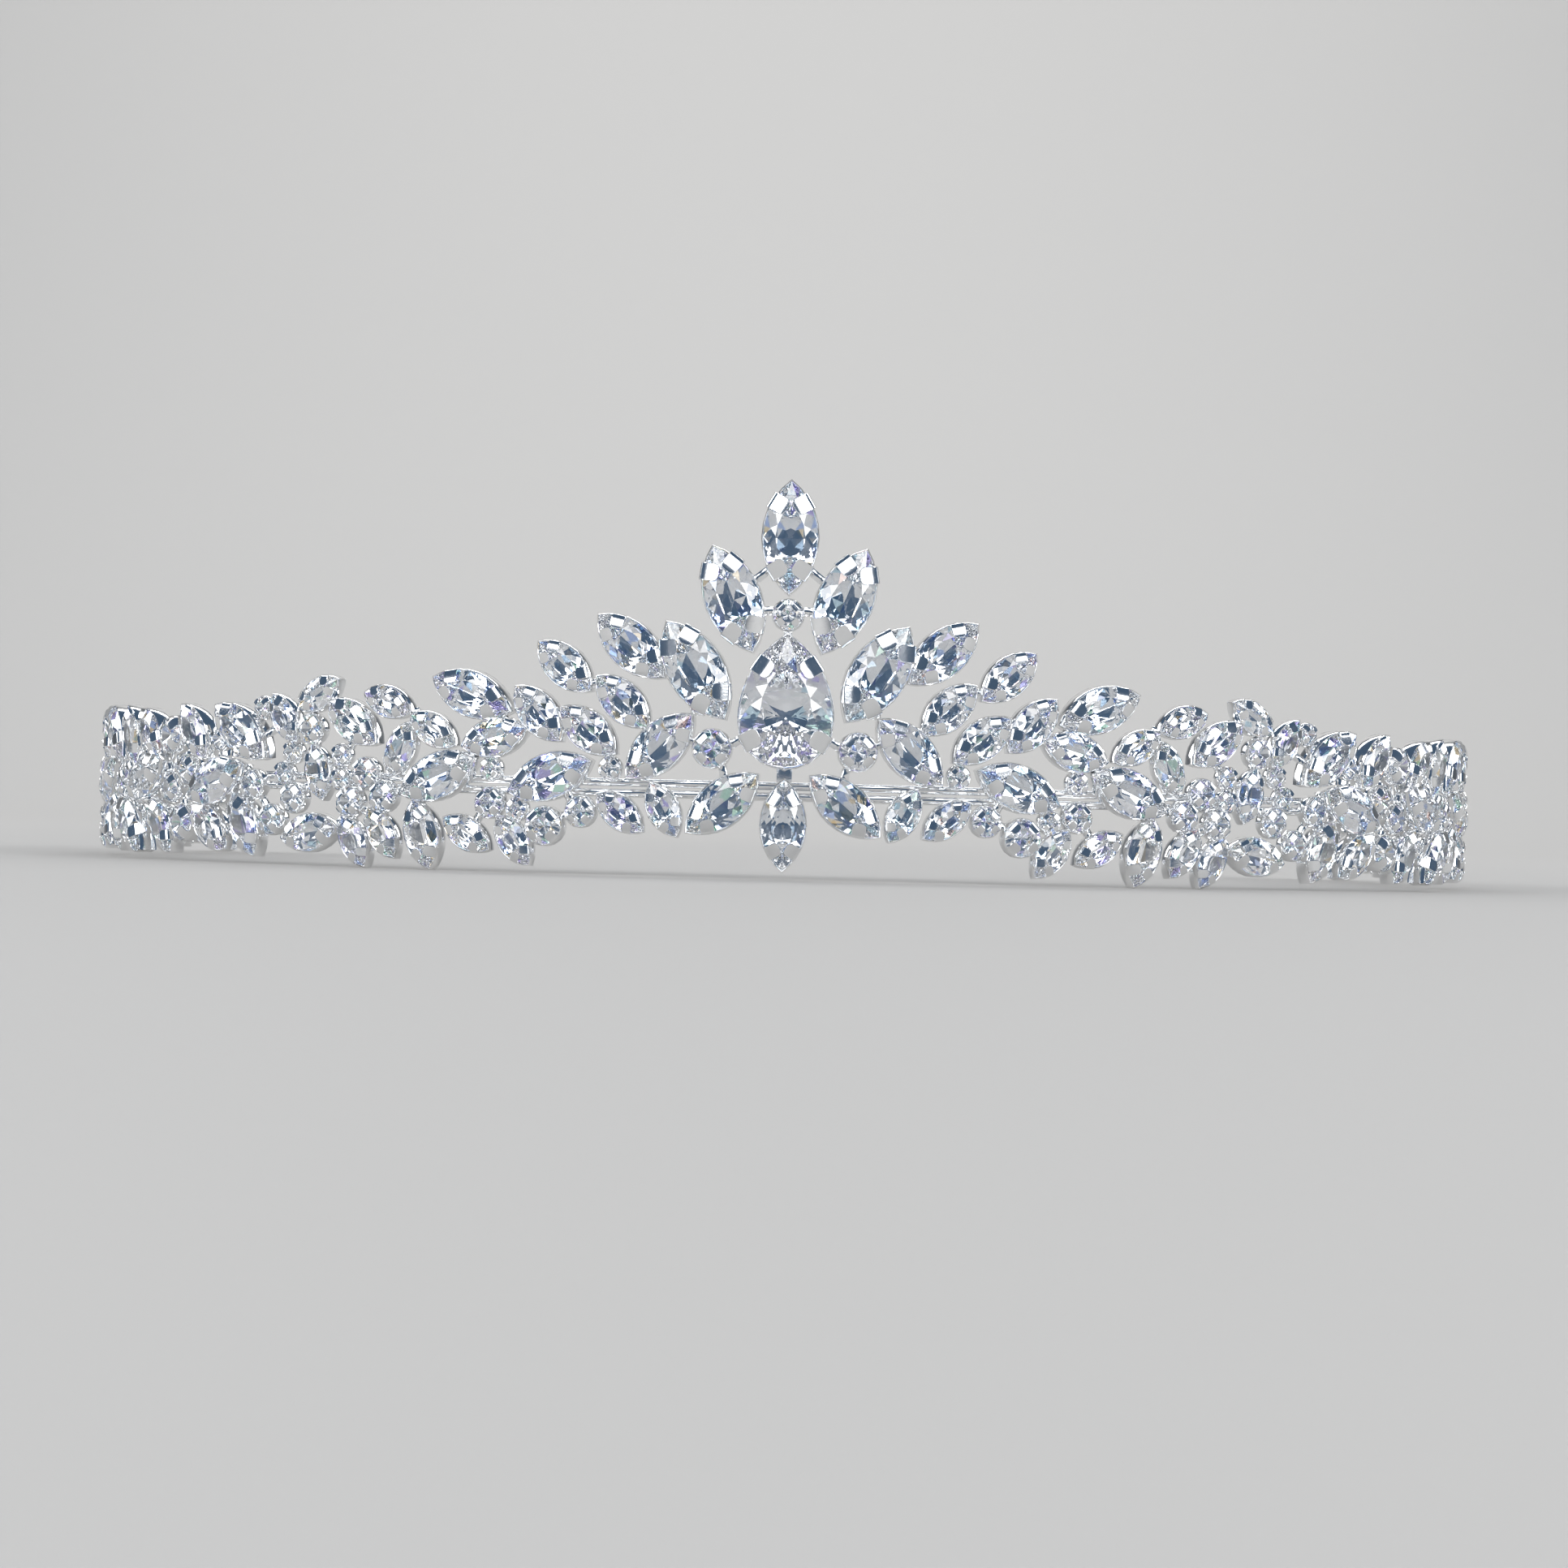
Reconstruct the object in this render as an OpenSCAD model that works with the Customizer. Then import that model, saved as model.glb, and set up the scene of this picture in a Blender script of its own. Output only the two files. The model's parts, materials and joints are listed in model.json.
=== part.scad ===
/* [Band] */
// Radius of the band across the front
front_radius = 98; // [92:1:106]
// Half of the angle that the front curve takes
front_angle = 38.5; // [36:0.5:41]
// Radius of the band where it turns back at each side
side_radius = 50; // [46:1:54]
// How far each arm leans inwards past straight back
turn_in = 4; // [0:0.5:8]
// Length of the straight stretch of each arm
arm_len = 56; // [50:1:62]
// Height of each band wire
wire_h = 0.9; // [0.8:0.05:1.1]
// Thickness of the band wires
wire_t = 0.8; // [0.7:0.1:1.2]
// Slot between the two band wires
wire_slot = 0.2; // [0.15:0.05:0.5]

/* [Settings] */
// Wall of each open cup under a stone
wall = 0.35; // [0.3:0.05:0.4]
// Clearance between a stone and its metal
seat_gap = 0.1; // [0.1:0.01:0.12]
// How far a cup reaches behind its stone's point
cup_tail = 0.3; // [0.25:0.05:0.5]
// Width of the claws on the largest stones
claw_w = 1.7; // [1.4:0.1:1.8]
// Thickness of a claw
claw_t = 0.25; // [0.2:0.05:0.35]
// How far the claws fold over the largest stones
claw_lip = 0.9; // [0.6:0.05:0.95]
// Width of the links that join cups to each other
link_w = 0.9; // [0.7:0.1:1.2]
// Thickness of the links
link_t = 0.6; // [0.5:0.1:0.8]

/* [Stones] */
// Length of the pear stone
pear_l = 13.2; // [12.8:0.1:13.6]
// Width of the pear stone
pear_w = 9.2; // [8.8:0.1:9.4]
// Length of the crest marquises
crest_l = 11; // [10.6:0.1:11.3]
// Width of the crest marquises
crest_w = 5.2; // [4.8:0.1:5.4]
// Length of the leaf marquises
leaf_l = 8.8; // [8.4:0.1:9]
// Width of the leaf marquises
leaf_w = 4.1; // [3.8:0.1:4.2]
// Length of the bud marquises
bud_l = 6.9; // [6.5:0.1:7.1]
// Width of the bud marquises
bud_w = 3.4; // [3.1:0.1:3.5]
// Length of the chip marquises
chip_l = 5.5; // [5.3:0.1:5.8]
// Width of the chip marquises
chip_w = 2.7; // [2.6:0.1:2.9]
// Diameter of the large round stones
dot_d = 3.4; // [3.2:0.1:3.6]
// Diameter of the middle round stones
bead_d = 2.6; // [2.4:0.1:2.7]
// Diameter of the small round stones
seed_d = 1.8; // [1.6:0.1:2]
// Width of a stone's table, as a share of the stone
table_share = 0.55; // [0.5:0.01:0.62]
// Height of a stone's crown, as a share of its width
crown_share = 0.16; // [0.12:0.01:0.18]
// Depth of a stone below its girdle, as a share of its width
pavilion_share = 0.4; // [0.36:0.01:0.42]

/* [Hidden] */

// Kinds of outline
ROUND = 0;
MARQUISE = 1;
PEAR = 2;

// Columns of a cut: outline, length, width
PEAR_CUT = [PEAR, pear_l, pear_w];
CREST = [MARQUISE, crest_l, crest_w];
LEAF = [MARQUISE, leaf_l, leaf_w];
BUD = [MARQUISE, bud_l, bud_w];
CHIP = [MARQUISE, chip_l, chip_w];
DOT = [ROUND, dot_d, dot_d];
BEAD = [ROUND, bead_d, bead_d];
SEED = [ROUND, seed_d, seed_d];

// A place is the cut, the distance along the band from the front, the
// height over the band's middle, and the angle of the stone's long axis.
// Stones on the middle line, with their names and the sides that their links
// go to: 1 right, -1 left, 0 down the middle line
MIDDLE = [
  ["pear_stone", [PEAR_CUT, 0, 9.3, 90], [1, -1]],
  ["top_marquise", [CREST, 0, 26.4, 90], [1, -1]],
  ["crown_round", [BEAD, 0, 18.4, 0], [0]],
  ["pendant_marquise", [LEAF, 0, -3.5, 90], []],
];
// Main stones of the right half, which the left half repeats mirrored
PAIRS = [
  ["upper_marquise", [CREST, 5.7, 19.9, 68]],
  ["shoulder_marquise", [CREST, 9.3, 12.4, 58]],
  ["inner_round", [DOT, 7.5, 4.3, 0]],
  ["inner_marquise", [LEAF, 12.9, 4.4, 135]],
  ["lower_marquise", [LEAF, 6.3, -1.4, 140]],
  ["lower_bud", [CHIP, 12.4, -2.2, 62]],
  ["wing_marquise_1", [LEAF, 16.1, 14.8, 42]],
  ["wing_marquise_2", [BUD, 23.2, 12.6, 41]],
  ["wing_marquise_3", [BUD, 16.9, 9, 43]],
  ["wing_marquise_4", [BUD, 20.5, 5.9, 38]],
  ["wing_marquise_5", [BUD, 25.9, 7.6, 48]],
  ["wing_marquise_6", [LEAF, 33.3, 9.5, 21]],
  ["wing_marquise_7", [BUD, 30.7, 5, 165]],
  ["wing_marquise_8", [LEAF, 24.5, 1, 159]],
  ["wing_marquise_9", [LEAF, 37, 0.8, 156]],
];
// Small stones of the right half near the front
NEAR_FIELD = [
  [SEED, 18.2, 2, 0],
  [CHIP, 17, -2.6, 38],
  [SEED, 31.2, 1.7, 0],
  [BEAD, 31.2, -1.9, 0],
  [CHIP, 28.4, -5.8, 54],
  [DOT, 25, -4.2, 0],
  [BEAD, 21.2, -2.6, 0],
  [CHIP, 33.7, -5.2, 31],
  [BUD, 38.8, -5.4, 73],
  [CHIP, 43.8, -5.4, 57],
  [CHIP, 41.8, 3.6, 113],
  [CHIP, 37.9, 5.7, 30],
  [CHIP, 43.4, 8.6, 18],
  [BUD, 47.6, 6.4, 35],
  [BEAD, 48, -2.2, 0],
  [BEAD, 46, 1, 0],
  [SEED, 49.4, 2.8, 0],
  [CHIP, 52.2, 1, 75],
  [BUD, 53, -5.6, 170],
  [CHIP, 57, 6.8, 55],
  [CHIP, 52.4, 9.4, 150],
  [SEED, 57.2, 0.8, 0],
];
// One stretch of the motif that fills the rest of each arm, its start at 0
MOTIF = [
  [LEAF, 3, 5.3, 36],
  [BUD, 10.5, 5.3, 50],
  [SEED, 6.9, 4.4, 0],
  [LEAF, 6.7, -0.2, 158],
  [BEAD, 11.9, 1, 0],
  [BEAD, 1.5, -0.5, 0],
  [BUD, 2.3, -4.9, 62],
  [BUD, 7.6, -5.3, 38],
  [DOT, 12.3, -4.9, 0],
];
motif_length = 13.5;
motif_start = 60;
motif_count = 8;

// Lengths along the band from the middle of the front
front_len = front_radius * front_angle * PI / 180;
arm_heading = 90 + turn_in;
side_angle = arm_heading - front_angle;
side_len = side_radius * side_angle * PI / 180;
half_len = front_len + side_len + arm_len;
motif_pitch = (half_len - motif_start) / motif_count;

// Centre of the side curve
side_x = (front_radius - side_radius) * sin(front_angle);
side_y = front_radius - (front_radius - side_radius) * cos(front_angle);

// Heading of the band at a distance along it, and the point there, with the
// front of the band at 0
function heading(u) = u < 0 ? -heading(-u)
  : u < front_len ? u / front_radius * 180 / PI
  : u < front_len + side_len ? front_angle + (u - front_len) / side_radius * 180 / PI
  : arm_heading;
function plan(u) = u < 0 ? let (p = plan(-u)) [-p[0], p[1]]
  : u < front_len ? [front_radius * sin(heading(u)), front_radius * (1 - cos(heading(u)))]
  : [side_x + side_radius * sin(heading(u)), side_y - side_radius * cos(heading(u))]
    + max(0, u - front_len - side_len) * [cos(heading(u)), sin(heading(u))];
// Direction out of the band
function out(u) = [sin(heading(u)), -cos(heading(u))];

// Stretch number i of the motif, every second one turned half round
function stretch(i) = [for (p = MOTIF) let (turned = i % 2 == 1)
  [p[0], motif_start + (i + (turned ? motif_length - p[1] : p[1]) / motif_length) * motif_pitch,
    turned ? -p[2] : p[2], p[3]]];
FIELD = concat(NEAR_FIELD, [for (i = [0:motif_count - 1]) each stretch(i)]);
HALF = concat([for (m = PAIRS) m[1]], FIELD);
function mirrored(p) = [p[0], -p[1], p[2], 180 - p[3]];
CENTRE = [for (m = MIDDLE) m[1]];
ALL = concat(CENTRE, HALF, [for (p = HALF) mirrored(p)]);

// Radius and centre offset of the two arcs that bound a marquise
function arc_r(l, w) = (l * l + w * w) / (4 * w);
// Length of the pointed end of a pear, and where its round end is centred
function pear_tip(cut) = cut[1] - cut[2] / 2;
function pear_x(cut) = cut[2] / 2 - cut[1] / 2;
function arc_length(cut) = cut[0] == PEAR ? 2 * pear_tip(cut) : cut[1];

// Outline of a cut, grown by g on every side, clockwise from its left end
arc_steps = 5;
round_sides = 8;
function outline(cut, g, steps = arc_steps, sides = round_sides) = let (
    r = arc_r(arc_length(cut), cut[2]),
    c = r - cut[2] / 2,
    a = acos(c / (r + g)))
  cut[0] == ROUND
    ? [for (i = [0:sides - 1]) (cut[1] / 2 + g) * [-cos(i * 360 / sides), sin(i * 360 / sides)]]
  : cut[0] == MARQUISE
    ? [for (s = [1, -1], i = [0:steps - 1]) let (q = -a + 2 * a * i / steps)
        s * [(r + g) * sin(q), (r + g) * cos(q) - c]]
  : concat(
      [for (i = [0:steps - 1]) let (q = a * i / steps)
        [pear_x(cut) + (r + g) * sin(q), (r + g) * cos(q) - c]],
      [for (i = [0:steps - 1]) let (q = a * (1 - i / steps))
        [pear_x(cut) + (r + g) * sin(q), c - (r + g) * cos(q)]],
      [for (i = [0:steps - 1]) let (q = 180 * i / steps)
        [pear_x(cut) - (cut[2] / 2 + g) * sin(q), -(cut[2] / 2 + g) * cos(q)]]);

// Claws of a cut: place on the girdle and the direction they face
function claws(cut) = let (
    r = arc_r(arc_length(cut), cut[2]),
    c = r - cut[2] / 2,
    q = 0.6 * acos(c / r))
  cut[0] == ROUND ? [for (i = [0:3]) [cut[1] / 2 * [cos(45 + 90 * i), sin(45 + 90 * i)], 45 + 90 * i]]
  : cut[0] == MARQUISE
    ? [for (s = [0, 180], t = [-1, 1]) let (d = s == 0 ? 1 : -1)
        [d * [r * sin(t * q), r * cos(t * q) - c], s + 90 - t * q]]
  : [for (s = [1, -1], t = [0, 1])
      t == 0 ? [[pear_x(cut) + r * sin(q), s * (r * cos(q) - c)], s * (90 - q)]
      : [[pear_x(cut) - cut[2] / 2 * sin(30), s * cut[2] / 2 * cos(30)], s * 120]];

// How far the wires reach into the backs of the cups
solder = 0.25;

// Depth of a cup behind the girdle of its stone
function cup_h(cut) = pavilion_share * cut[2] + cup_tail;
// A round cup ends a little short of the others, which it meets at their backs
function cup_wall_h(cut) = cup_h(cut) - (cut[0] == ROUND ? 0.06 : 0);

// Points round the cup of a place, as distance along the band and height
function rim(p, steps = 12) = [for (q = outline(p[0], seat_gap + wall, steps, 2 * steps))
  [p[1] + q[0] * cos(p[3]) - q[1] * sin(p[3]), p[2] + q[0] * sin(p[3]) + q[1] * cos(p[3])]];

// The diadem stands on its lowest cups, and its origin is the middle of its floor
band_z = -min([for (p = concat(CENTRE, HALF), q = rim(p, 24)) q[1]]);
back_y = max([for (p = HALF, q = rim(p, 24))
  plan(p[1])[1] + (q[0] - p[1]) * sin(heading(p[1])) - cup_h(p[0]) * cos(heading(p[1]))]);
front_y = -cup_h(PEAR_CUT) - crown_share * pear_w;
mid_y = (front_y + back_y) / 2;
function point(u) = plan(u) - [0, mid_y];

// Puts its children at a place, with their +Z facing out of the band
module at(place) {
  u = place[1];
  translate([point(u)[0], point(u)[1], band_z + place[2]])
    rotate([0, 0, heading(u)]) rotate([90, 0, 0])
      rotate([0, 0, place[3]]) translate([0, 0, cup_h(place[0])]) children();
}

// A cut stone with its table, crown facets and pointed back, its girdle at Z 0
module stone(cut) {
  girdle = outline(cut, 0);
  n = len(girdle);
  points = concat(
    [for (p = girdle) [p[0] * table_share, p[1] * table_share, crown_share * cut[2]]],
    [for (p = girdle) [p[0], p[1], 0]],
    [[0, 0, -pavilion_share * cut[2]]]);
  faces = concat(
    [[for (i = [0:n - 1]) i]],
    [for (i = [0:n - 1]) [(i + 1) % n, i, n + i, n + (i + 1) % n]],
    [for (i = [0:n - 1]) [n + (i + 1) % n, n + i, 2 * n]]);
  polyhedron(points, faces);
}

// One claw, which rises from the top of the cup's wall and folds over the crown
module claw(cut) {
  slope = crown_share / (1 - table_share) * 2;
  lip = min(claw_lip, cut[2] * 0.18);
  profile = [[seat_gap + wall / 4, -claw_t / 5], [seat_gap + wall * 7 / 8, -claw_t / 5],
    [-lip, lip * slope + seat_gap + claw_t]];
  rotate([90, 0, 0]) linear_extrude(min(claw_w, cut[2] * 0.31), center = true) polygon(profile);
}

// Flat shape of a cut grown by g, with its true arcs where it has them
module shape(cut, g) {
  r = arc_r(cut[1], cut[2]) + g;
  if (cut[0] == ROUND) circle(cut[1] / 2 + g, $fn = 48);
  else if (cut[0] == PEAR) polygon(outline(cut, g));
  else intersection() {
    translate([0, r - cut[2] / 2 - g]) circle(r, $fn = 96);
    translate([0, cut[2] / 2 + g - r]) circle(r, $fn = 96);
  }
}

// Open cup and claws of one stone
module setting(cut) {
  translate([0, 0, -cup_wall_h(cut)]) linear_extrude(cup_wall_h(cut)) difference() {
    shape(cut, seat_gap + wall);
    shape(cut, seat_gap);
  }
  for (c = claws(cut)) translate(c[0]) rotate([0, 0, c[1]]) claw(cut);
}

// Does a cup cross a wire of the band, so that it is soldered to it
function on_band(p) = let (v = [for (q = rim(p)) q[1]], reach = wire_slot / 2 + wire_h * 0.7)
  min(v) < reach && max(v) > -reach;

// Is a point inside the cup of a place, at least by the depth of a solder joint
function inside(point, p) = let (
    d = point - [p[1], p[2]],
    x = d[0] * cos(p[3]) + d[1] * sin(p[3]) - (p[0][0] == PEAR ? pear_x(p[0]) : 0),
    y = d[1] * cos(p[3]) - d[0] * sin(p[3]),
    g = seat_gap + wall - 0.1,
    r = arc_r(arc_length(p[0]), p[0][2]),
    c = r - p[0][2] / 2)
  p[0][0] == ROUND || (p[0][0] == PEAR && x < 0) ? norm([x, y]) < p[0][2] / 2 + g
  : norm([x, y + c]) < r + g && norm([x, y - c]) < r + g;
function touching(p, q) = len([for (a = rim(p)) if (inside(a, q)) 1]) + len([for (b = rim(q)) if (inside(b, p)) 1]) > 0;

// Gap between two cups and the points that face each other across it
function across(p, q) = let (
    ways = [for (a = rim(p), b = rim(q)) [norm(a - b), a, b]],
    least = min([for (w = ways) w[0]]))
  [for (w = ways) if (w[0] == least) w][0];

// Link from a cup to the nearest cup on one side that is nearer to the band
link_reach = 13;
function nearer(p, s) = [for (q = ALL) if (abs(q[2]) < abs(p[2])
  && (s * q[1] > 0 || (q[1] == 0 && (s == 0 || p[1] != 0)))
  && norm([q[1] - p[1], q[2] - p[2]]) < link_reach) q];
function links(p, s) = let (
    near = nearer(p, s),
    ways = [for (q = near) across(p, q)],
    least = min([for (w = ways) w[0]]))
  len([for (q = near) if (touching(p, q)) 1]) > 0 ? [] : [for (w = ways) if (w[0] == least) w];
LINKS = concat(
  [for (m = MIDDLE, s = m[2]) each links(m[1], s)],
  [for (p = HALF) if (!on_band(p)) each links(p, 1)],
  [for (p = HALF) if (!on_band(p)) each links(mirrored(p), -1)]);

// Bar that joins two cups at their backs
module link(way) {
  u = (way[1][0] + way[2][0]) / 2;
  v = (way[1][1] + way[2][1]) / 2;
  d = way[2] - way[1];
  size = way[0] + wall * 1.2;
  translate([point(u)[0], point(u)[1], band_z + v])
    rotate([0, 0, heading(u)]) rotate([90, 0, 0]) rotate([0, 0, atan2(d[1], d[0])])
      translate([-size / 2, -link_w / 2, 0.1]) cube([size, link_w, link_t]);
}

// Bar behind the pear stone's cup, which carries it on the band
post_w = 1.6;
module post() translate([-post_w / 2, point(0)[1] - solder + 0.05, band_z - wire_slot / 2 - wire_h * 0.8])
  cube([post_w, wire_t * 0.8, PEAR_V + wire_slot / 2 + wire_h * 0.8]);
PEAR_V = MIDDLE[0][1][2] - pear_l / 2 + 1.2;

// Corners of a wire, seen from above, from one end of the band to the other
front_steps = 11;
side_steps = 12;
STOPS = concat([for (i = [1:front_steps]) front_len * i / front_steps],
  [for (i = [1:side_steps]) front_len + side_len * i / side_steps], [half_len]);
CORNERS = concat([for (i = [len(STOPS) - 1:-1:0]) -STOPS[i]], [0], STOPS);
module wire(side) translate([0, 0, band_z + side * (wire_slot + wire_h) / 2 - wire_h / 2])
  linear_extrude(wire_h) polygon(concat(
    [for (u = CORNERS) point(u) + solder * out(u)],
    [for (i = [len(CORNERS) - 1:-1:0]) point(CORNERS[i]) - (wire_t - solder) * out(CORNERS[i])]));

// All the metal in one list, so that it is joined in one step
METAL = concat([for (p = ALL) ["setting", p]], [for (w = LINKS) ["link", w]],
  [["wire", 1], ["wire", -1], ["post", 0]]);
module frame() color("silver") for (m = METAL)
  if (m[0] == "setting") at(m[1]) setting(m[1][0]);
  else if (m[0] == "link") link(m[1]);
  else if (m[0] == "wire") wire(m[1]);
  else post();

module field(side) color("azure") for (p = FIELD)
  at(side == "right" ? p : mirrored(p)) stone(p[0]);

module main_stone(place) color("white") at(place) stone(place[0]);

frame();
field("right");  // right_field
field("left");  // left_field
for (m = MIDDLE) main_stone(m[1]);
for (m = PAIRS) main_stone(m[1]);
for (m = PAIRS) main_stone(mirrored(m[1]));
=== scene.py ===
import json
import math

import bpy
import numpy as np
from mathutils import Matrix, Vector

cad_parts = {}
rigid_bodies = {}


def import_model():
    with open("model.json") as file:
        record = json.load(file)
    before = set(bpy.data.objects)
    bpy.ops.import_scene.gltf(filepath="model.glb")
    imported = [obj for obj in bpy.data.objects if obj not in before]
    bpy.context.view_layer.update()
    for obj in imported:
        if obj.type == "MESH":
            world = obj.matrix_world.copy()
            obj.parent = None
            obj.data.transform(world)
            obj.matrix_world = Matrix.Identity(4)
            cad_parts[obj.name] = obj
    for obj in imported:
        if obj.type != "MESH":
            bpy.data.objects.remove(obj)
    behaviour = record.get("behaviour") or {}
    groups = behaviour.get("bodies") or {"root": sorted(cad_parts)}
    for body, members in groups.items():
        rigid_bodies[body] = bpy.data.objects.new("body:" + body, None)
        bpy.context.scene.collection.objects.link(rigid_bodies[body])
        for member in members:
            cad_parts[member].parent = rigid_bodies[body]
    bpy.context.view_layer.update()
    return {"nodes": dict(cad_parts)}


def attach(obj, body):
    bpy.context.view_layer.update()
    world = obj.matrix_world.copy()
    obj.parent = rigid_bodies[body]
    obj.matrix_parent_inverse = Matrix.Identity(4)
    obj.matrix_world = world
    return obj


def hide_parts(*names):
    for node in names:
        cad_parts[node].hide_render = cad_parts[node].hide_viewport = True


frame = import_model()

# Main stones: the pear, the marquises and the rounds of the front.
# They are clear cubic zirconia, ground with a table, stars, kites and girdle facets over a pointed back,
# and each lies loose on the rim of its cup until the claws are folded over it.
MM = 0.001
ROUND, MARQUISE, PEAR = "round", "marquise", "pear"
CROWN = 0.16  # height of a stone's crown, as a share of its width
BACK = 0.4  # depth of its back, likewise
GIRDLE = 0.012  # half the thickness of its girdle, likewise
TABLE = 0.55  # size of its table, as a share of the stone
STARS = 0.78  # how far out its stars end, likewise
STARS_RISE = 0.62  # how high they end, as a share of the crown
BACK_RING = 0.24  # where the facets of its back meet, as a share of the way from the keel to the girdle
BACK_RING_DROP = 0.77  # how deep they meet, as a share of the back
KEEL = 0.37  # half a marquise's keel, as a share of its length less its width
PEAR_KEEL = 0.85  # a pear's whole keel, likewise
PEAR_SIDE = 5 / 16  # the share of a pear's outline points that each of its two arcs has
STONE_LAP = 0.2 * MM  # how far a stone laps over the rim that carries it
LARGE = 5 * MM  # a stone wider than this has more facets, and room for claws that stand out
LARGE_KITES, KITES = 12, 10
MAIN_STONES = [n for n in frame["nodes"] if n != "frame" and not n.endswith("_field")]

# how a stone's place and cut are told from its solid
SAME_POINT = 1e-7  # metres within which two corners are one
ONE_FLAT = 0.9999  # cosine between the normals of one flat's triangles
NEAR_GIRDLE = 0.03  # a corner this near to the girdle's height is on it, as a share of the width
ROUND_MOST = 1.2  # length of the longest round, likewise
EVEN_ENDS = 0.98  # a marquise's ends reach out equally far, a pear's don't


def loose_solids(node):
    """The solids of a node of stones, each as its points, its triangles' normals and their areas."""
    mesh = frame["nodes"][node].data
    co = np.empty(len(mesh.vertices) * 3)
    mesh.vertices.foreach_get("co", co)
    corner = np.empty(len(mesh.loops), int)
    mesh.loops.foreach_get("vertex_index", corner)
    grid = np.round(co.reshape(-1, 3) / SAME_POINT).astype(int)
    points, same = np.unique(grid, axis=0, return_inverse=True)
    points = points * SAME_POINT
    tris = same.reshape(-1)[corner].reshape(-1, 3)
    group = np.arange(len(points))
    while True:
        low = group[tris].min(axis=1)
        after = group.copy()
        for k in range(3):
            np.minimum.at(after, tris[:, k], low)
        after = after[after]
        if (after == group).all():
            break
        group = after
    solids = []
    for g in np.unique(group):
        mine = tris[group[tris[:, 0]] == g]
        a, b, c = (points[mine[:, k]] for k in range(3))
        cross = np.cross(b - a, c - a)
        area = np.linalg.norm(cross, axis=1)
        solids.append((points[np.unique(mine)], cross / area[:, None], area / 2))
    return solids


def place_of(solid):
    """Where a stone is: its girdle's centre, its axes as columns and its cut: outline, length and width in metres."""
    points, normals, areas = solid
    level = normals @ normals.T > ONE_FLAT
    out = normals[level[np.argmax(level @ areas)]].mean(axis=0)  # the table is the largest flat
    out /= np.linalg.norm(out)
    height = points @ out
    width = (height.max() - height.min()) / (CROWN + BACK)
    centre = points[np.argmin(height)] + out * BACK * width
    girdle = points[abs((points - centre) @ out) < NEAR_GIRDLE * width]
    reach = np.linalg.norm(girdle - centre, axis=1)
    if reach.max() * 2 < ROUND_MOST * width:
        along = girdle[np.argmin(abs(girdle[:, 2] - centre[2]))] - centre
        cut = (ROUND, width, width)
    else:
        along = girdle[np.argmax(reach)] - centre
        other_end = -((girdle - centre) @ along).min() / (along @ along)
        cut = (MARQUISE if other_end > EVEN_ENDS else PEAR, 2 * reach.max(), width)
    along /= np.linalg.norm(along)
    cut = (cut[0], round(cut[1] / MM, 1) * MM, round(cut[2] / MM, 1) * MM)
    return centre, np.column_stack([along, np.cross(out, along), out]), cut


def side_arcs(cut):
    """A long cut's two side arcs: where they are widest, their radius, and how far over the axis they centre."""
    kind, length, width = cut
    widest = width / 2 - length / 2 if kind == PEAR else 0
    span = 2 * length - width if kind == PEAR else length
    radius = (span * span + width * width) / (4 * width)
    return widest, radius, radius - width / 2


def outline(cut, grow, count):
    """Points round a cut's outline, grown by a distance, from the tip at +X and turning left."""
    kind, length, width = cut
    if kind == ROUND:
        turn = np.arange(count) * 2 * math.pi / count
        return (width / 2 + grow) * np.column_stack([np.cos(turn), np.sin(turn)])
    widest, r, c = side_arcs(cut)
    a = math.acos(c / (r + grow))
    if kind == PEAR:
        side = round(count * PEAR_SIDE)
        q = a * (1 - np.arange(side) / side)
    else:
        side = count // 2
        q = a * (1 - 2 * np.arange(side) / side)
    arc = np.column_stack([widest + (r + grow) * np.sin(q), (r + grow) * np.cos(q) - c])
    if kind == MARQUISE:
        return np.vstack([arc, -arc])
    turn = math.pi / 2 + math.pi * np.arange(count - 2 * side + 1) / (count - 2 * side)
    end = np.column_stack([widest + (width / 2 + grow) * np.cos(turn), (width / 2 + grow) * np.sin(turn)])
    return np.vstack([arc, end, arc[:0:-1] * (1, -1)])


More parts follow.
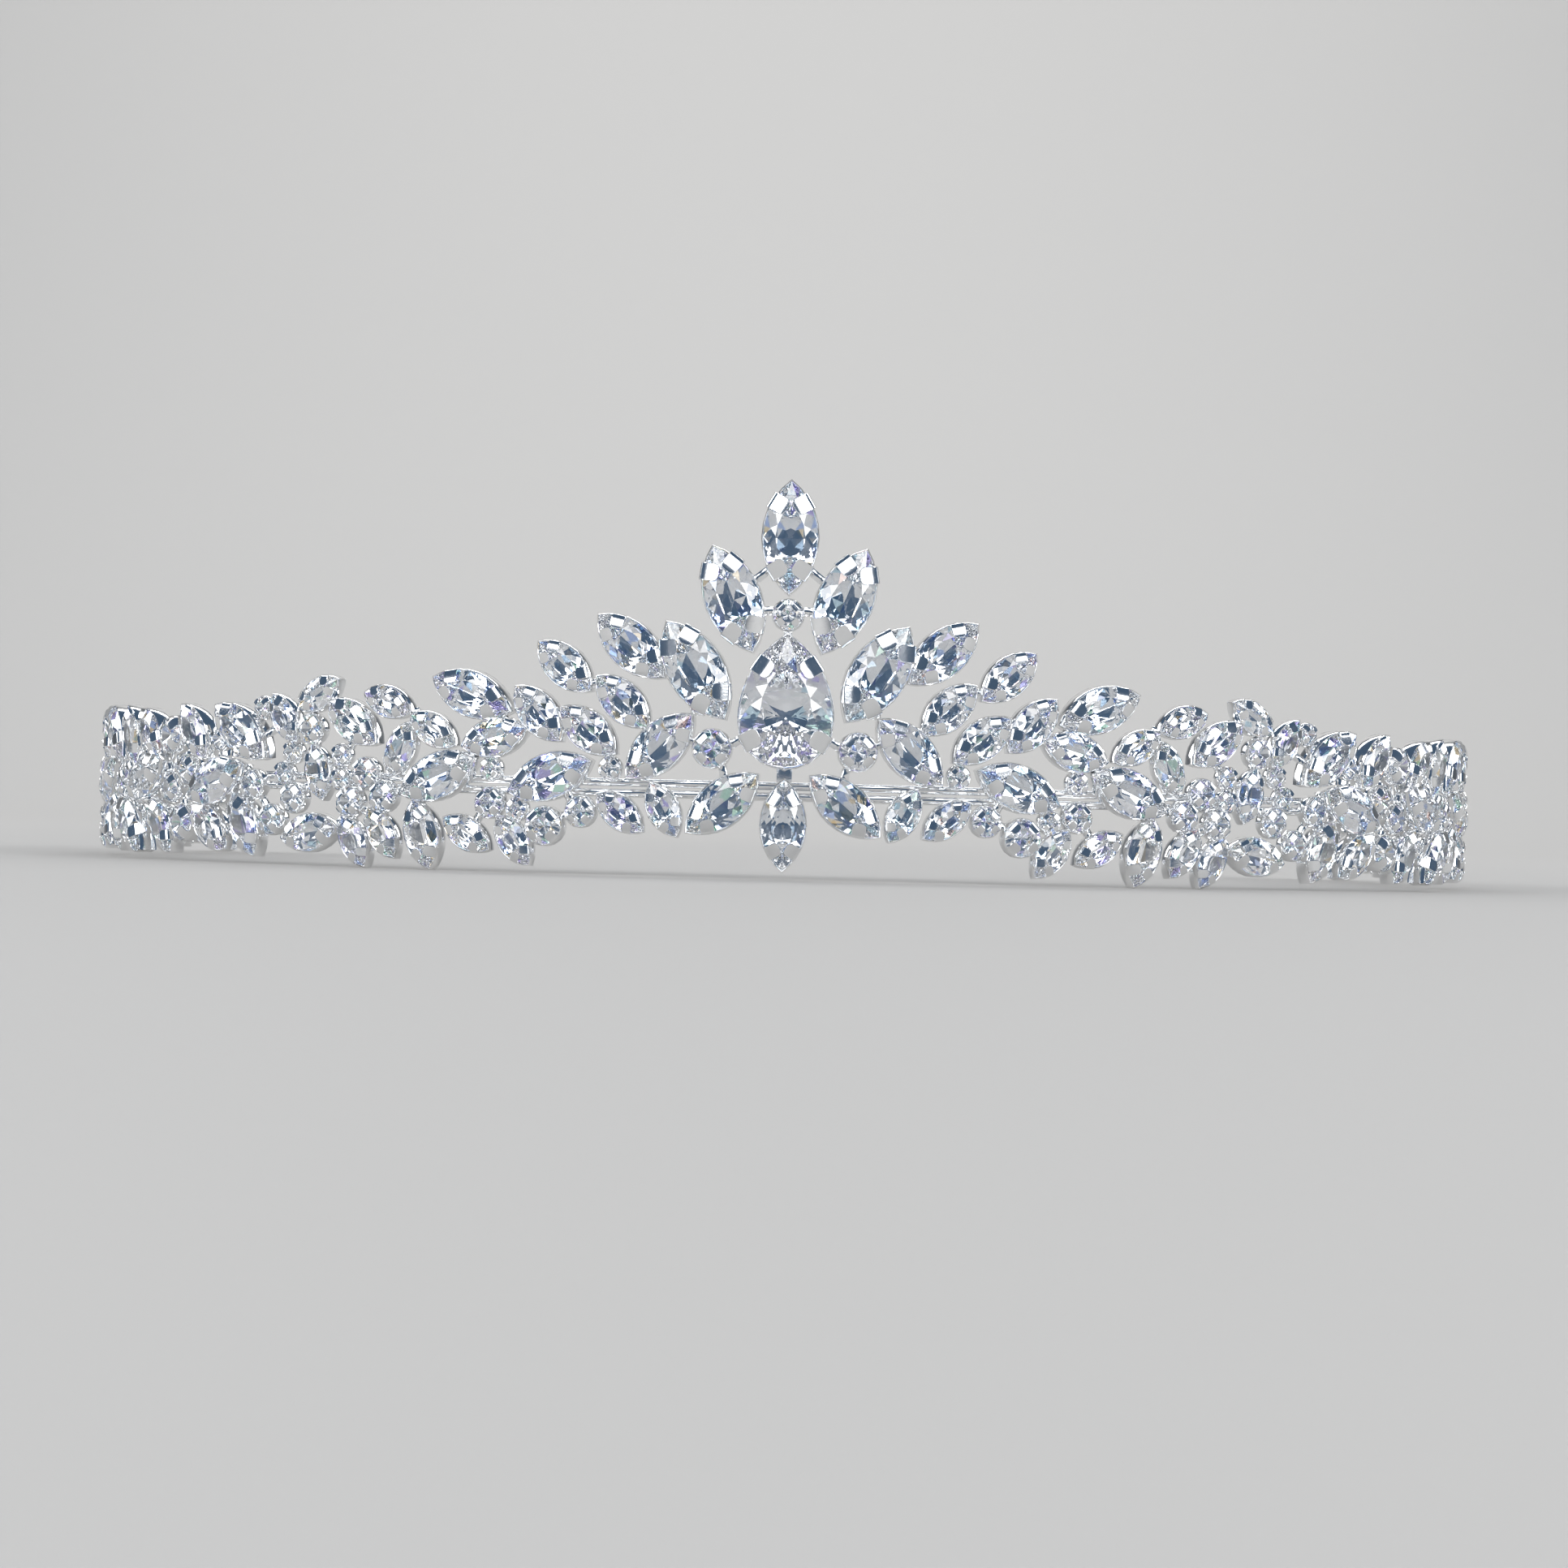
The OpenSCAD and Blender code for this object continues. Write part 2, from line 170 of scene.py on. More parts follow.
def cut_stone(cut, kites=KITES):
    """Points and faces of a cut stone with that many kites, its girdle at Z 0."""
    kind, length, width = cut
    width = width + 2 * STONE_LAP
    crown, back, edge = CROWN * width, BACK * width, GIRDLE * width
    rim = outline(cut, STONE_LAP, 2 * kites)
    even, odd = rim[::2], rim[1::2]
    # a long stone's back ends in a keel, so that its facets are as steep at the tips as at the sides
    spare, foot = length - width, width / 2 - length / 2
    keel = {ROUND: (0, 0), MARQUISE: (KEEL * spare, -KEEL * spare), PEAR: (foot + PEAR_KEEL * spare, foot)}[kind]
    halfway = (keel[0] + keel[1]) / 2
    end = [0 if x >= halfway else 1 for x, y in even]
    near = np.array([[keel[0 if x >= halfway else 1], 0] for x, y in odd])

    def level(points, z):
        return [(x, y, z) for x, y in points]

    points = (level(even * TABLE, crown) + level(odd * STARS, STARS_RISE * crown) + level(rim, edge)
              + level(rim, -edge) + level(near + (odd - near) * BACK_RING, -BACK_RING_DROP * back)
              + [(x, 0, -back) for x in keel])
    table, star, top, low, deep, tip = (k * kites for k in (0, 1, 2, 4, 6, 7))
    faces = [list(range(kites))]
    for j in range(kites):
        k, p = (j + 1) % kites, (j - 1) % kites
        a, b, c = 2 * j, 2 * j + 1, 2 * k
        faces += [
            [table + j, star + j, table + k],
            [table + j, star + p, top + a, star + j],
            [star + j, top + a, top + b],
            [star + j, top + b, top + c],
            [top + a, low + a, low + b, top + b],
            [top + b, low + b, low + c, top + c],
            [deep + j, low + b, low + a],
            [deep + j, low + c, low + b],
            [tip + end[j], deep + j, low + a, deep + p],
        ]
        if kind != ROUND and end[j] != end[k]:
            faces.append([tip + end[j], tip + end[k], deep + j])
    return np.array(points), faces


def new_piece(name, points, faces, material=None, edges=()):
    """A mesh object with its place in its mesh."""
    mesh = bpy.data.meshes.new(name)
    mesh.from_pydata([tuple(p) for p in points], list(edges), faces)
    piece = bpy.data.objects.new(name, mesh)
    bpy.context.scene.collection.objects.link(piece)
    if material:
        mesh.materials.append(material)
    return piece


# a clear stone splits white light, so here and there a facet throws one colour of it; that fire is painted into the
# facets' colour, as painted flashes of coloured light
CLEAR = (0.965, 0.98, 1.0)
PAINTED_FIRE = [  # each painted flash colour, and its share of the facets painted with one
    ((0.30, 0.46, 1.0), 0.30),
    ((0.42, 0.34, 1.0), 0.16),
    ((1.0, 0.70, 0.34), 0.14),
    ((0.45, 0.95, 0.66), 0.10),
    ((0.42, 0.72, 0.92), 0.25),
    ((1.0, 0.55, 0.45), 0.05),
]
PAINTED_FIRE_CORNERS = 4  # the most corners of a facet that gets a painted flash
PAINTED_FIRE_SHARE = 0.2
LARGEST, LARGEST_PAINTED_FIRE_SHARE = 6 * MM, 0.08  # a stone this wide gets fewer painted flashes
PAINTED_REFLECTION_BLUE = (0.36, 0.60, 0.92)  # painted reflection: the steel blue painted on the facets behind the middle of a marquise, in place of the dark patch that the stone mirrors there
PAINTED_REFLECTION_DEPTH, PAINTED_REFLECTION_HALF, PAINTED_REFLECTION_DROP = 0.2, 0.2, 0.1  # how deep, how near the axis and how far down the painted reflection lies, in stone widths


def paint_fire_and_reflection(piece, seed, share=PAINTED_FIRE_SHARE, painted_reflection_mask=None):
    """Gives each facet its colour: most are clear, a few of the small ones get a painted flash of fire, and some get
    a painted blue reflection.
    """
    rng = np.random.default_rng(seed)
    count = len(piece.data.polygons)
    corners = np.empty(count, int)
    piece.data.polygons.foreach_get("loop_total", corners)
    colours, odds = zip(*PAINTED_FIRE)
    colour = np.tile(np.array(CLEAR), (count, 1))
    # painted flashes of coloured fire on a few of the small facets
    painted_flash = (rng.random(count) < share) & (corners <= PAINTED_FIRE_CORNERS)
    colour[painted_flash] = np.array(colours)[rng.choice(len(PAINTED_FIRE), painted_flash.sum(), p=odds)]
    # a painted reflection: steel blue painted on the facets behind a marquise's middle
    if painted_reflection_mask is not None:
        colour[painted_reflection_mask] = PAINTED_REFLECTION_BLUE
    layer = piece.data.attributes.new("fire", "FLOAT_COLOR", "FACE")
    layer.data.foreach_set("color", np.column_stack([colour, np.ones(count)]).ravel())


def painted_reflection_facets(points, faces, axes, cut):
    """Which facets lie deep behind the middle of a marquise, and not far down it: those that get the painted blue
    reflection.
    """
    x, y, z = np.array([np.mean(points[face], axis=0) / cut[2] for face in faces]).T
    return (cut[0] == MARQUISE) & (z < -PAINTED_REFLECTION_DEPTH) & (abs(y) < PAINTED_REFLECTION_HALF) & (x * axes[2, 0] > -PAINTED_REFLECTION_DROP)


def stone_material():
    """Clear zirconia, which bends light as the real stone does and takes each facet's painted colour as its base
    colour: painted flashes of fire and a painted blue reflection.
    """
    m = bpy.data.materials.new("clear zirconia")
    m.use_nodes = True
    nodes, links = m.node_tree.nodes, m.node_tree.links
    shader = nodes["Principled BSDF"]
    shader.inputs["Transmission Weight"].default_value = 1.0
    shader.inputs["IOR"].default_value = 2.15
    shader.inputs["Roughness"].default_value = 0.0
    # each facet's painted fire and painted reflection become its base colour
    fire = nodes.new("ShaderNodeAttribute")
    fire.attribute_name = "fire"
    links.new(fire.outputs["Color"], shader.inputs["Base Color"])
    return m


zirconia = stone_material()
places = {}  # every stone's place, by node
for number, node in enumerate(MAIN_STONES):
    centre, axes, cut = place_of(loose_solids(node)[0])
    places[node] = [(centre, axes, cut)]
    points, faces = cut_stone(cut, LARGE_KITES if cut[2] > LARGE else KITES)
    stone = new_piece(node + "_cut", points @ axes.T + centre, faces, zirconia)
    # the stone's facets get painted flashes of fire, and a marquise's a painted blue reflection
    paint_fire_and_reflection(stone, seed=100 + number, share=PAINTED_FIRE_SHARE if cut[2] < LARGEST else LARGEST_PAINTED_FIRE_SHARE,
             painted_reflection_mask=painted_reflection_facets(points, faces, axes, cut))
    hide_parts(node)
    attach(stone, "root")

# Fields: the small stones that cover the arms from the front to their ends.
# They are the same clear zirconia in smaller cuts, set close in three rows, each in a cup of its own.
SMALL_FIELDS = ["right_field", "left_field"]
FULL_SIZE = (1, 1, 1)


def start_tree(name, inputs, result):
    """A tree of geometry nodes with named inputs: the tree, their identifiers by name, and its input node."""
    tree = bpy.data.node_groups.new(name, "GeometryNodeTree")
    keys = {}
    for label, kind in inputs:
        socket = tree.interface.new_socket(name=label, in_out="INPUT", socket_type="NodeSocket" + kind)
        keys[label] = socket.identifier
    tree.interface.new_socket(name=result, in_out="OUTPUT", socket_type="NodeSocketGeometry")
    return tree, keys, tree.nodes.new("NodeGroupInput")


def end_tree(tree, given, shapes):
    """Makes the shapes that a tree has placed real, and gives them the metal or stone that is its input Finish."""
    new, link = tree.nodes.new, tree.links.new
    real, finish, made = new("GeometryNodeRealizeInstances"), new("GeometryNodeSetMaterial"), new("NodeGroupOutput")
    link(shapes, real.inputs["Geometry"])
    link(real.outputs["Geometry"], finish.inputs["Geometry"])
    link(given.outputs["Finish"], finish.inputs["Material"])
    link(finish.outputs["Geometry"], made.inputs[0])


def run_tree(piece, tree, keys, values):
    """Runs a tree on a piece, its inputs given by name, and leaves the piece as the plain mesh that it makes."""
    nodes = piece.modifiers.new(tree.name, "NODES")
    nodes.node_group = tree
    for label, value in values.items():
        nodes[keys[label]] = value
    bpy.context.view_layer.update()
    mesh = bpy.data.meshes.new_from_object(piece.evaluated_get(bpy.context.evaluated_depsgraph_get()))
    piece.modifiers.remove(nodes)
    piece.data = mesh
    mesh.name = piece.name


def places_tree():
    """Geometry nodes that put a copy of the right shape at each place, turned and sized as its setting is."""
    inputs = (("Places", "Geometry"), ("Cuts", "Collection"), ("Finish", "Material"))
    tree, keys, given = start_tree("one cut at each place", inputs, "Pieces")
    new, link = tree.nodes.new, tree.links.new
    cuts = new("GeometryNodeCollectionInfo")
    cuts.inputs["Separate Children"].default_value = True
    cuts.inputs["Reset Children"].default_value = True
    link(given.outputs["Cuts"], cuts.inputs["Collection"])
    copies = new("GeometryNodeInstanceOnPoints")
    copies.inputs["Pick Instance"].default_value = True
    link(given.outputs["Places"], copies.inputs["Points"])
    link(cuts.outputs["Instances"], copies.inputs["Instance"])
    for name, kind, socket in (
            ("cut", "INT", "Instance Index"), ("turn", "QUATERNION", "Rotation"), ("size", "FLOAT_VECTOR", "Scale")):
        read = new("GeometryNodeInputNamedAttribute")
        read.data_type = kind
        read.inputs["Name"].default_value = name
        link(read.outputs["Attribute"], copies.inputs[socket])
    end_tree(tree, given, copies.outputs["Instances"])
    return tree, keys


PLACES_TREE, PLACES_KEYS = places_tree()


def repeat(name, where, shapes, material):
    """One mesh of copies of the shapes, which are as new_piece takes them.

    Each row of where gives a copy's centre, its axes, the number of its shape and its size.
    """
    box = bpy.data.collections.new(name + " shapes")
    bpy.context.scene.collection.children.link(box)
    for number, shape in enumerate(shapes):
        source = new_piece(f"{name}_shape_{number:02d}", *shape)
        bpy.context.scene.collection.objects.unlink(source)
        box.objects.link(source)
    centres, axes, cuts, sizes = zip(*where)
    turns = [Matrix(a.tolist()).to_quaternion() for a in axes]
    piece = new_piece(name, centres, [])
    new = piece.data.attributes.new
    new("turn", "QUATERNION", "POINT").data.foreach_set("value", np.array(turns).ravel())
    new("cut", "INT", "POINT").data.foreach_set("value", cuts)
    new("size", "FLOAT_VECTOR", "POINT").data.foreach_set("vector", np.array(sizes, float).ravel())
    run_tree(piece, PLACES_TREE, PLACES_KEYS, {"Cuts": box, "Finish": material})
    for source in list(box.objects):
        bpy.data.objects.remove(source)
    bpy.data.collections.remove(box)
    return piece


def set_out(stones):
    """The rows that repeat takes, from stones' places."""
    return [(centre, axes, CUTS.index(cut), FULL_SIZE) for centre, axes, cut in stones]


for node in SMALL_FIELDS:
    places[node] = [place_of(s) for s in loose_solids(node)]
solid_places = [p for node in places for p in places[node]]
CUTS = sorted({cut for centre, axes, cut in solid_places})
small_stones = [cut_stone(cut) for cut in CUTS]
for number, node in enumerate(SMALL_FIELDS):
    field = repeat(node + "_stones", set_out(places[node]), small_stones, zirconia)
    # painted flashes of fire in the small stones' facets
    paint_fire_and_reflection(field, seed=number)
    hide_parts(node)
    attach(field, "root")

# Filler stones: small rounds and a narrow marquise of the same zirconia, set in cups of their own between the
# larger stones, where the front turns into the arms. They follow the band's curve, as the others do.
FRONT_RADIUS, FRONT_ANGLE = 98.0, math.radians(38.5)  # mm, across the front
SIDE_RADIUS, ARM_HEADING, ARM_LENGTH = 50.0, math.radians(94), 56.0  # the turn at each side, and the straight arm
BAND_FRONT = -57.7137  # Y of the band's outer face at the front, mm
BAND_HEIGHT = 9.2277  # height of the band's middle, mm
FRONT_LENGTH, SIDE_LENGTH = FRONT_RADIUS * FRONT_ANGLE, SIDE_RADIUS * (ARM_HEADING - FRONT_ANGLE)
BAND_HALF = FRONT_LENGTH + SIDE_LENGTH + ARM_LENGTH
CUP_TAIL = 0.3 * MM  # how far a cup reaches behind the stone's point, and so the point stands off the band
FILLERS = [  # mm along the band from the front, mm over its middle, outline, length, width, angle of the long axis
    (28.2, -2.5, ROUND, 1.8, 1.8, 0),
    (43.8, -1.5, ROUND, 2.6, 2.6, 0),
    (49.33, 0.25, ROUND, 1.8, 1.8, 0),
    (47.3, -6.35, MARQUISE, 5.5, 2.7, 60),
    (53.3, 5.6, ROUND, 2.6, 2.6, 0),
    (56.0, 3.1, ROUND, 1.8, 1.8, 0),
    (55.6, -1.9, ROUND, 2.6, 2.6, 0),
    (58.6, -4.3, ROUND, 2.6, 2.6, 0),
    (60.4, 7.9, ROUND, 1.8, 1.8, 0),
]
FILLER_SEED = 7


def band_at(u, inset=0.0):
    """The band at a distance along it from the front: X and Y, set in from its outer face, and its heading."""
    if u < FRONT_LENGTH:
        t = u / FRONT_RADIUS
        r = FRONT_RADIUS - inset
        return r * math.sin(t), BAND_FRONT + FRONT_RADIUS - r * math.cos(t), t
    t = min(FRONT_ANGLE + (u - FRONT_LENGTH) / SIDE_RADIUS, ARM_HEADING)
    arm = max(0, u - FRONT_LENGTH - SIDE_LENGTH)
    inner = FRONT_RADIUS - SIDE_RADIUS
    r = SIDE_RADIUS - inset
    x = inner * math.sin(FRONT_ANGLE) + r * math.sin(t) + arm * math.cos(t)
    y = FRONT_RADIUS - inner * math.cos(FRONT_ANGLE) - r * math.cos(t) + arm * math.sin(t)
    return x, y + BAND_FRONT, t


def filler_place(row, side):
    """The place of a filler stone, as place_of gives it, on the right (1) or the left (-1)."""
    u, v, kind, length, width, angle = row
    x, y, heading = band_at(u)
    out = np.array([side * math.sin(heading), -math.cos(heading), 0])
    along = np.array([math.cos(heading), side * math.sin(heading), 0])
    angle = math.radians(angle if side > 0 else 180 - angle)
    along = along * math.cos(angle) + np.array([0, 0, math.sin(angle)])
    centre = np.array([side * x, y, BAND_HEIGHT + v]) * MM + out * (BACK * width * MM + CUP_TAIL)
    return centre, np.column_stack([along, np.cross(out, along), out]), (kind, length * MM, width * MM)


filler_places = [filler_place(row, side) for side in (1, -1) for row in FILLERS]
fillers = repeat("filler_stones", set_out(filler_places), small_stones, zirconia)
# painted flashes of fire in the filler stones' facets
paint_fire_and_reflection(fillers, seed=FILLER_SEED)
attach(fillers, "root")

# Cups: an open basket of white metal under each stone, cast in brass, polished and plated.
# Its rim is a thin edge that shows round the stone, and its back is open, so that light comes through.
CUP_WALL = 0.45 * MM  # how far a cup reaches past its stone's girdle
CUP_POINTS = {PEAR: 32, MARQUISE: 20, ROUND: 16}  # round each cup
CUP_EDGE = 50  # degrees; an edge of a cup sharper than this stays crisp
PLATING_COLOUR = (0.90, 0.905, 0.91)
POLISH = 0.06, 0.16  # roughness where the plating is brightest and where it is most worn
WEAR_SCALE, MARKS_SCALE = 900, 5200  # of the clouds of wear and of the polishing marks, to the metre
MARKS_STRENGTH, MARKS_DEPTH = 0.25, 0.01 * MM


def cup_depth(cut):
    """How far a cup reaches behind its stone's girdle."""
    return BACK * cut[2] + CUP_TAIL


def lofted(rings, closed):
    """Faces that join rings of the same number of points, the last to the first if closed, else with flat ends."""
    count, size = len(rings), len(rings[0])
    faces = []
    for a in range(count if closed else count - 1):
        b = (a + 1) % count
        for i in range(size):
            j = (i + 1) % size
            faces.append([a * size + i, a * size + j, b * size + j, b * size + i])
    if not closed:
        faces += [list(range(size))[::-1], [(count - 1) * size + i for i in range(size)]]
    return faces


def cup(cut):
    """Points and faces of the cup of a stone, the stone's girdle at Z 0."""
    depth = cup_depth(cut)
    section = [  # (past the girdle, height over it), up the outside and down the inside
        (0.37 * MM, -depth), (CUP_WALL, -depth + 0.22 * MM), (0.43 * MM, -0.14 * MM), (0.33 * MM, 0.02 * MM),
        (0.25 * MM, -0.03 * MM), (0.08 * MM, -0.55 * MM), (0.12 * MM, -depth + 0.1 * MM), (0.24 * MM, -depth)]
    count = CUP_POINTS[cut[0]]
    rings = [np.column_stack([outline(cut, past, count), np.full(count, z)]) for past, z in section]
    return np.vstack(rings), lofted(rings, closed=True)


def plating_material():
    """Polished plating: bright, with a faint cloud of wear in its gloss and fine polishing marks."""
    m = bpy.data.materials.new("polished white plating")
    m.use_nodes = True
    nodes, links = m.node_tree.nodes, m.node_tree.links
    shader = nodes["Principled BSDF"]
    shader.inputs["Metallic"].default_value = 1.0
    shader.inputs["Base Color"].default_value = (*PLATING_COLOUR, 1)
    where = nodes.new("ShaderNodeTexCoord")
    cloud = nodes.new("ShaderNodeTexNoise")
    cloud.inputs["Scale"].default_value = WEAR_SCALE
    cloud.inputs["Detail"].default_value = 3
    gloss = nodes.new("ShaderNodeMapRange")
    gloss.inputs["To Min"].default_value, gloss.inputs["To Max"].default_value = POLISH
    marks = nodes.new("ShaderNodeTexNoise")
    marks.inputs["Scale"].default_value = MARKS_SCALE
    marks.inputs["Detail"].default_value = 2
    bump = nodes.new("ShaderNodeBump")
    bump.inputs["Strength"].default_value = MARKS_STRENGTH
    bump.inputs["Distance"].default_value = MARKS_DEPTH
    links.new(where.outputs["Object"], cloud.inputs["Vector"])
    links.new(where.outputs["Object"], marks.inputs["Vector"])
    links.new(cloud.outputs["Fac"], gloss.inputs["Value"])
    links.new(gloss.outputs["Result"], shader.inputs["Roughness"])
    links.new(marks.outputs["Fac"], bump.inputs["Height"])
    links.new(bump.outputs["Normal"], shader.inputs["Normal"])
    return m


def smooth(piece, angle):
    """Smooth shading, with the edges sharper than the angle left crisp."""
    piece.data.shade_smooth()
    piece.data.set_sharp_from_angle(angle=math.radians(angle))


plating = plating_material()
stone_places = solid_places + filler_places
seats = set_out(stone_places)
cups = repeat("cups", seats, [cup(cut) for cut in CUTS], plating)
smooth(cups, CUP_EDGE)
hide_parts("frame")
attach(cups, "root")

# Claws: four tabs to each cup, cut with round ends from the same plated brass and folded over the stone.
# They are the metal that catches the eye, flat and mirror bright.
CLAW_SHARE, CLAW_MOST = 0.35, 2.0 * MM  # width of a claw, as a share of its stone's width, and the widest
LIP_SHARE, ROUND_LIP_SHARE, LIP_MOST = 0.27, 0.21, 1.5 * MM  # how far a claw folds over its stone, likewise
CLAW_THICK, LARGE_CLAW_THICK = 0.13 * MM, 0.2 * MM
CLAW_STAND = 0.22 * MM  # from the girdle to a claw's inner face, which leaves room for the next stone
LARGE_CLAW_STAND = 0.4 * MM
CLAW_BEVEL, BEVEL_SHARE = 0.06 * MM, 0.3  # of a claw's long edges, and the most of its half width
BEVEL_LEFT = 0.6  # the thickness left at the edge, as a share of the claw's
CLAW_EDGE = 35  # degrees, and so with the wires and links
CROWN_POINTS = 64  # of the outline from which a crown's height is told
SIDE_CLAW = 0.6  # how far from the widest place to the tip a long stone's claws stand, as a share of the arc
END_CLAW = math.radians(30)  # how far behind its widest place a pear's other claws stand


def claw_feet(cut):
    """Where the claws stand on the girdle, and the way that each faces, as an angle."""
    kind, length, width = cut
    if kind == ROUND:
        turns = [math.radians(45 + 90 * k) for k in range(4)]
        return [((width / 2 * math.cos(t), width / 2 * math.sin(t)), t) for t in turns]
    widest, r, c = side_arcs(cut)
    q = SIDE_CLAW * math.acos(c / r)
    x, y = r * math.sin(q), r * math.cos(q) - c
    if kind == MARQUISE:
        return [((i * x, j * y), math.atan2(j * math.cos(q), i * math.sin(q))) for i in (1, -1) for j in (1, -1)]
    back_x, back_y = widest - width / 2 * math.sin(END_CLAW), width / 2 * math.cos(END_CLAW)
    return ([((widest + x, j * y), j * (math.pi / 2 - q)) for j in (1, -1)]
            + [((back_x, j * back_y), j * (math.pi / 2 + END_CLAW)) for j in (1, -1)])


def crown_height(cut, x, y):
    """How high a stone's crown stands over its girdle at a point, its kites bulging a little."""
    rim_x, rim_y = outline(cut, STONE_LAP, CROWN_POINTS).T
    reach = np.interp(math.atan2(y, x), np.arctan2(rim_y, rim_x), np.hypot(rim_x, rim_y), period=2 * math.pi)
    share = np.interp(math.hypot(x, y) / reach, [TABLE, STARS, 1], [1, STARS_RISE, 0])
    return CROWN * (cut[2] + 2 * STONE_LAP) * share


def claws(cut):
    """Points and faces of the four claws of a stone, the stone's girdle at Z 0."""
    width = min(CLAW_MOST, cut[2] * CLAW_SHARE)
    lip = min(LIP_MOST, cut[2] * (ROUND_LIP_SHARE if cut[0] == ROUND else LIP_SHARE))
    stand, thick = (LARGE_CLAW_STAND, LARGE_CLAW_THICK) if cut[2] > LARGE else (CLAW_STAND, CLAW_THICK)
    # up a claw's inner face: (past the girdle, height over it), and then (past the girdle, height over the crown)
    upright = [(0.9 * stand, -0.3 * MM), (stand, -0.1 * MM), (stand, 0.08 * MM), (0.8 * stand, 0.2 * MM)]
    folded = [(0.06 * MM, 0.24 * MM), (-0.3 * lip, 0.13 * MM), (-0.65 * lip, 0.09 * MM),
              (-0.88 * lip, 0.07 * MM), (-lip, 0.05 * MM)]
    spread = [0.9, 1, 1, 1, 1, 1, 1, 0.86, 0.5]  # a claw's width on its way, which rounds its end
    points, faces = [], []
    for (x, y), turn in claw_feet(cut):
        cos, sin = math.cos(turn), math.sin(turn)
        over = [(past, lift + crown_height(cut, x + past * cos, y + past * sin)) for past, lift in folded]
        path = np.array(upright + over)
        way = np.gradient(path, axis=0)
        way /= np.linalg.norm(way, axis=1)[:, None]
        away = np.column_stack([way[:, 1], -way[:, 0]])  # out of the claw's face
        rings = []
        for (past, z), n, share in zip(path, away, spread):
            half = width / 2 * share
            bevel = min(CLAW_BEVEL, half * BEVEL_SHARE)
            ring = []
            for side, up in ((-half, BEVEL_LEFT), (-half + bevel, 1), (half - bevel, 1), (half, BEVEL_LEFT),
                             (half, 0), (-half, 0)):
                d, h = past + n[0] * up * thick, z + n[1] * up * thick
                ring.append((x + d * cos - side * sin, y + d * sin + side * cos, h))
            rings.append(ring)
        start = len(points)
        points += [p for ring in rings for p in ring]
        faces += [[start + i for i in face] for face in lofted(rings, closed=False)]
    return np.array(points), faces


tabs = repeat("claws", seats, [claws(cut) for cut in CUTS], plating)
smooth(tabs, CLAW_EDGE)
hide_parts("frame")
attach(tabs, "root")

# Band: two round brass wires, one over the other, bent to a horseshoe and soldered to the backs of the cups.
# They are plated with the cups, once all is soldered.
WIRE_RADIUS = 0.45  # mm
WIRE_PITCH = 1.1  # mm, from one wire's middle to the other's
WIRE_INSET = 0.33  # mm, from the cups' backs to the wires' middle
WIRE_STEPS = 72  # along each half of the band
WIRE_SIDES = 14
WIRE_EDGE = 40


def wires_tree():
    """Geometry nodes that draw a round wire along a line, above and below its height."""
    inputs = (("Line", "Geometry"), ("Radius", "Float"), ("Pitch", "Float"), ("Finish", "Material"))
    tree, keys, given = start_tree("pair of band wires", inputs, "Wires")
    new, link = tree.nodes.new, tree.links.new
    line = new("GeometryNodeMeshToCurve")
    link(given.outputs["Line"], line.inputs["Mesh"])
    ring = new("GeometryNodeCurvePrimitiveCircle")
    ring.inputs["Resolution"].default_value = WIRE_SIDES
    link(given.outputs["Radius"], ring.inputs["Radius"])
    tube = new("GeometryNodeCurveToMesh")
    tube.inputs["Fill Caps"].default_value = True
    link(line.outputs["Curve"], tube.inputs["Curve"])
    link(ring.outputs["Curve"], tube.inputs["Profile Curve"])
    both = new("GeometryNodeJoinGeometry")
    for side in (0.5, -0.5):
        lift = new("ShaderNodeMath")
        lift.operation = "MULTIPLY"
        lift.inputs[1].default_value = side
        link(given.outputs["Pitch"], lift.inputs[0])
        offset = new("ShaderNodeCombineXYZ")
        link(lift.outputs[0], offset.inputs["Z"])
        moved = new("GeometryNodeTransform")
        link(tube.outputs["Mesh"], moved.inputs["Geometry"])
        link(offset.outputs["Vector"], moved.inputs["Translation"])
        link(moved.outputs["Geometry"], both.inputs["Geometry"])
    end_tree(tree, given, both.outputs["Geometry"])
    return tree, keys


right_half = [band_at(BAND_HALF * i / WIRE_STEPS, WIRE_INSET)[:2] for i in range(WIRE_STEPS + 1)]
line = [(-x, y) for x, y in right_half[:0:-1]] + right_half
wires = new_piece("band_wires", [(x * MM, y * MM, BAND_HEIGHT * MM) for x, y in line], [],
                  edges=[(i, i + 1) for i in range(len(line) - 1)])
run_tree(wires, *wires_tree(), {"Radius": WIRE_RADIUS * MM, "Pitch": WIRE_PITCH * MM, "Finish": plating})
smooth(wires, WIRE_EDGE)
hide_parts("frame")
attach(wires, "root")

# Links: short brass bars that join a cup off the band to its neighbour, and the post that carries the pear's cup.
# They are soldered at the backs of the cups, where little of them shows, and plated with the rest.
LINK_REACH = 13 * MM  # the furthest that a cup's neighbour may be
LINK_HEIGHT, LINK_THICK = 0.9 * MM, 0.6 * MM
LINK_BITE = 0.42 * MM  # how much longer a link is than its gap
LINK_EDGE = 50
ON_BAND = 0.73 * MM  # a cup that comes this close to the band's middle is soldered to a wire
LINK_RISE = 0.1 * MM  # how far in front of the cups' backs a link stands
JOINT = 0.1 * MM  # how far two cups overlap at least where they are soldered to each other
BACK_POINTS = 24  # round a cup's back
CENTRED = 0.1 * MM  # a cup this close to the middle stands in it
CORNERS = 1.08  # how much further out a bar's eight corners lie than its flats
POST_LOW, POST_HIGH = BAND_HEIGHT - 0.82, BAND_HEIGHT + 3.9  # mm
POST_INSET = 0.44  # mm, from the band's face to the post's back
POST_WIDTH, POST_THICK = 1.6 * MM, 0.64 * MM


